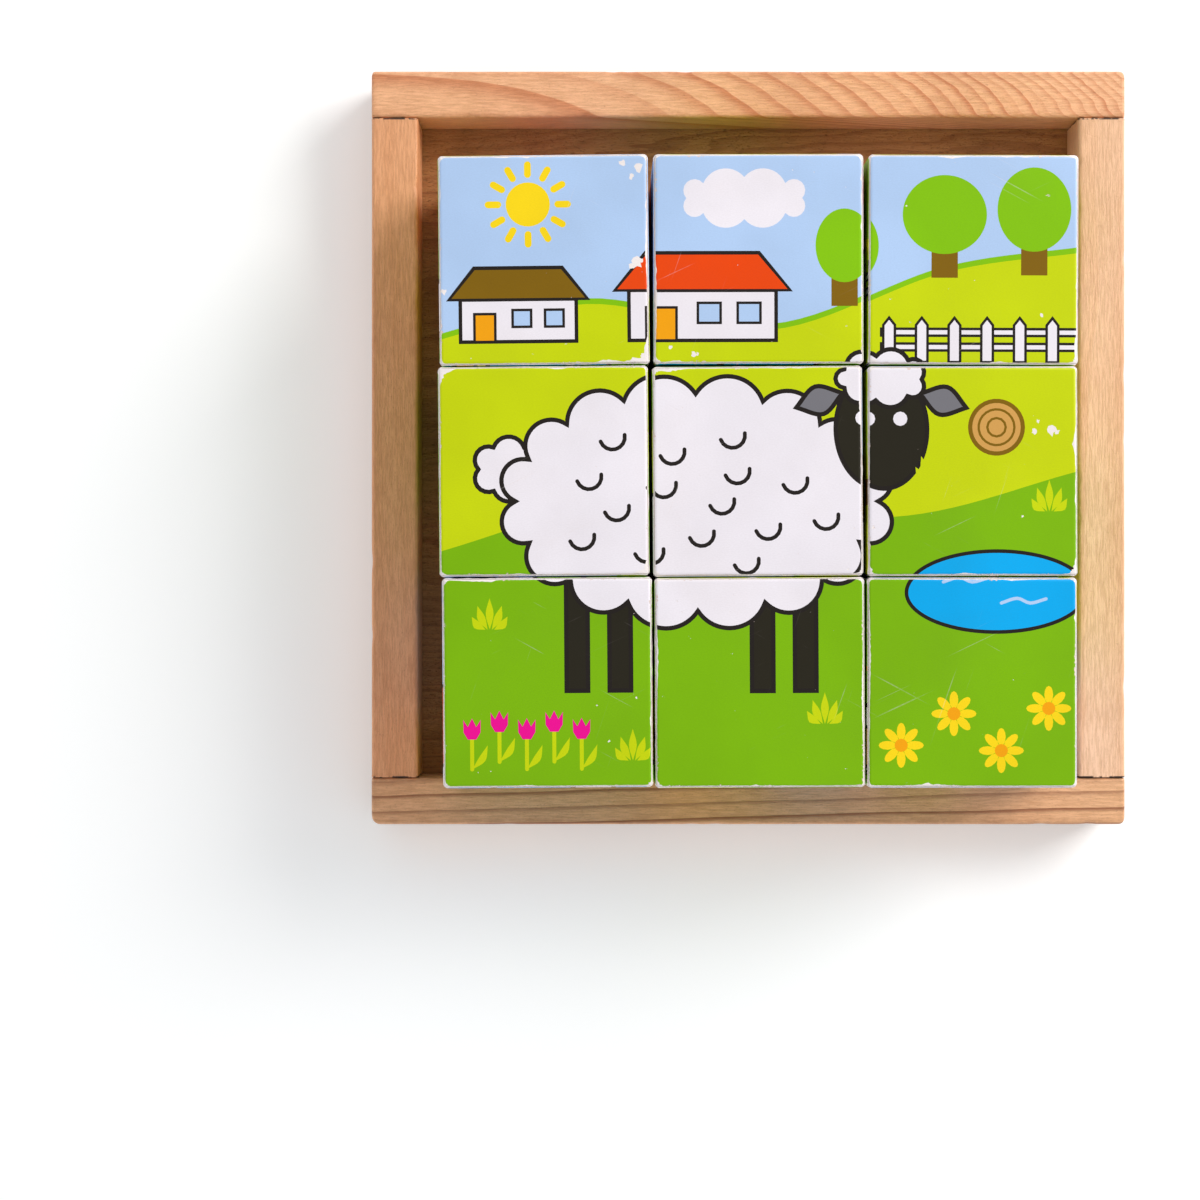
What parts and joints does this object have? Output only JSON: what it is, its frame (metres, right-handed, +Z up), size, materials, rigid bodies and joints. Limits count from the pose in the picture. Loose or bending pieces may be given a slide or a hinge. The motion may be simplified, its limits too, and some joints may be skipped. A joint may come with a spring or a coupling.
{
  "type": "picture cube puzzle",
  "caption": "Shallow square wooden tray holding a flat array of wooden cubes, with printed paper pictures glued on their faces, that lift out and turn over to make other pictures.",
  "frame": {"origin": "middle of the tray's underside, on the surface that it stands on", "axes": "+Z up, +X to the right and +Y to the back of the picture on the cubes' tops"},
  "size_m": [0.152, 0.152, 0.0432],
  "materials": {
    "rail_wood": "planed and sanded softwood with a thin clear varnish",
    "base_plywood": "sanded plywood, brown",
    "cube_wood": "bare sawn and sanded softwood",
    "printed_paper": "satin varnished colour print",
    "brad_steel": "bright steel, slightly dull"
  },
  "bodies": {
    "tray": {"back_rail": "rail_wood", "front_rail": "rail_wood", "left_rail": "rail_wood", "right_rail": "rail_wood", "base_panel": "base_plywood", "front_left_corner_brad_lower": "brad_steel", "front_left_corner_brad_upper": "brad_steel", "front_left_base_brad_end": "brad_steel", "front_left_base_brad_side": "brad_steel", "back_left_corner_brad_lower": "brad_steel", "back_left_corner_brad_upper": "brad_steel", "back_left_base_brad_end": "brad_steel", "back_left_base_brad_side": "brad_steel", "front_right_corner_brad_lower": "brad_steel", "front_right_corner_brad_upper": "brad_steel", "front_right_base_brad_end": "brad_steel", "front_right_base_brad_side": "brad_steel", "back_right_corner_brad_lower": "brad_steel", "back_right_corner_brad_upper": "brad_steel", "back_right_base_brad_end": "brad_steel", "back_right_base_brad_side": "brad_steel"},
    "front_left_cube": {"front_left_cube_core": "cube_wood", "front_left_cube_top_label": "printed_paper", "front_left_cube_side_labels": "printed_paper", "front_left_cube_bottom_label": "printed_paper"},
    "front_middle_cube": {"front_middle_cube_core": "cube_wood", "front_middle_cube_top_label": "printed_paper", "front_middle_cube_side_labels": "printed_paper", "front_middle_cube_bottom_label": "printed_paper"},
    "front_right_cube": {"front_right_cube_core": "cube_wood", "front_right_cube_top_label": "printed_paper", "front_right_cube_side_labels": "printed_paper", "front_right_cube_bottom_label": "printed_paper"},
    "centre_left_cube": {"centre_left_cube_core": "cube_wood", "centre_left_cube_top_label": "printed_paper", "centre_left_cube_side_labels": "printed_paper", "centre_left_cube_bottom_label": "printed_paper"},
    "centre_middle_cube": {"centre_middle_cube_core": "cube_wood", "centre_middle_cube_top_label": "printed_paper", "centre_middle_cube_side_labels": "printed_paper", "centre_middle_cube_bottom_label": "printed_paper"},
    "centre_right_cube": {"centre_right_cube_core": "cube_wood", "centre_right_cube_top_label": "printed_paper", "centre_right_cube_side_labels": "printed_paper", "centre_right_cube_bottom_label": "printed_paper"},
    "back_left_cube": {"back_left_cube_core": "cube_wood", "back_left_cube_top_label": "printed_paper", "back_left_cube_side_labels": "printed_paper", "back_left_cube_bottom_label": "printed_paper"},
    "back_middle_cube": {"back_middle_cube_core": "cube_wood", "back_middle_cube_top_label": "printed_paper", "back_middle_cube_side_labels": "printed_paper", "back_middle_cube_bottom_label": "printed_paper"},
    "back_right_cube": {"back_right_cube_core": "cube_wood", "back_right_cube_top_label": "printed_paper", "back_right_cube_side_labels": "printed_paper", "back_right_cube_bottom_label": "printed_paper"}
  },
  "joints": [
    {"name": "lift_front_left_cube", "type": "slide", "parent": "tray", "child": "front_left_cube", "axis": [0, 0, 1], "range_m": [0, 0.06]},
    {"name": "lift_front_middle_cube", "type": "slide", "parent": "tray", "child": "front_middle_cube", "axis": [0, 0, 1], "range_m": [0, 0.06]},
    {"name": "lift_front_right_cube", "type": "slide", "parent": "tray", "child": "front_right_cube", "axis": [0, 0, 1], "range_m": [0, 0.06]},
    {"name": "lift_centre_left_cube", "type": "slide", "parent": "tray", "child": "centre_left_cube", "axis": [0, 0, 1], "range_m": [0, 0.06]},
    {"name": "lift_centre_middle_cube", "type": "slide", "parent": "tray", "child": "centre_middle_cube", "axis": [0, 0, 1], "range_m": [0, 0.06]},
    {"name": "lift_centre_right_cube", "type": "slide", "parent": "tray", "child": "centre_right_cube", "axis": [0, 0, 1], "range_m": [0, 0.06]},
    {"name": "lift_back_left_cube", "type": "slide", "parent": "tray", "child": "back_left_cube", "axis": [0, 0, 1], "range_m": [0, 0.06]},
    {"name": "lift_back_middle_cube", "type": "slide", "parent": "tray", "child": "back_middle_cube", "axis": [0, 0, 1], "range_m": [0, 0.06]},
    {"name": "lift_back_right_cube", "type": "slide", "parent": "tray", "child": "back_right_cube", "axis": [0, 0, 1], "range_m": [0, 0.06]}
  ]
}
